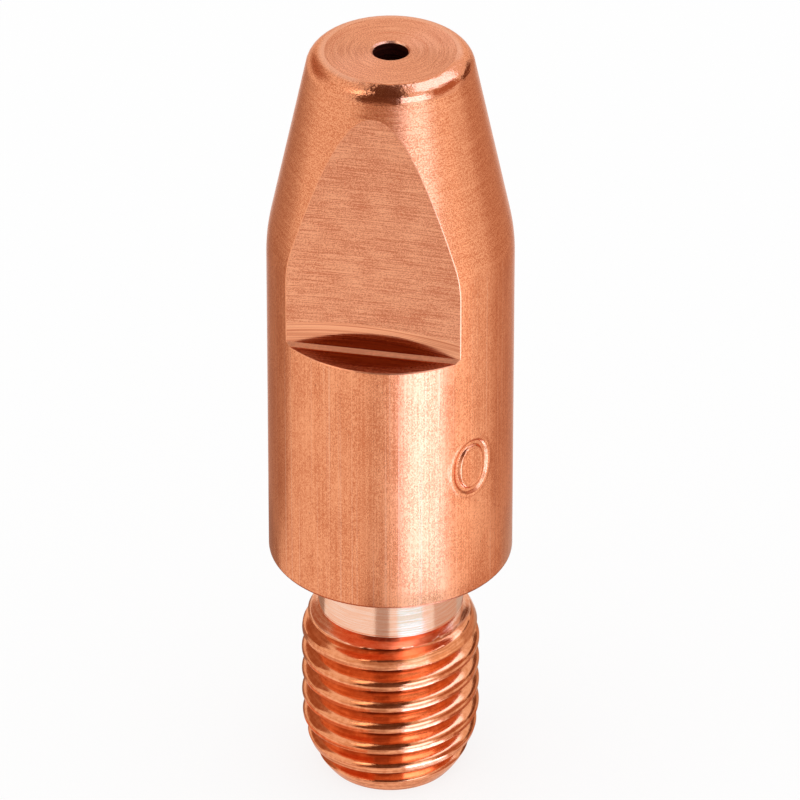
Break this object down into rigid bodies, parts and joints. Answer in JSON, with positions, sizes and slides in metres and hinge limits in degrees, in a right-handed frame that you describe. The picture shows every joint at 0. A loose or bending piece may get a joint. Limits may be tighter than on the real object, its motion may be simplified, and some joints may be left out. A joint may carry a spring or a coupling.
{
  "type": "welding contact tip",
  "caption": "Turned copper contact tip for a wire welding torch: tapered nose with spanner flats, cylindrical body, relieved neck and threaded end, with a fine wire bore right through.",
  "frame": {"origin": "centre of the end face at the threaded end, on the wire bore's axis", "axes": "+Z along the wire bore towards the nose, -Y and +Y square to the two spanner flats"},
  "size_m": [0.008, 0.008, 0.027],
  "materials": {
    "copper": "satin drawn and turned copper, bright on the thread"
  },
  "bodies": {
    "root": {"contact_tip": "copper"}
  },
  "joints": []
}
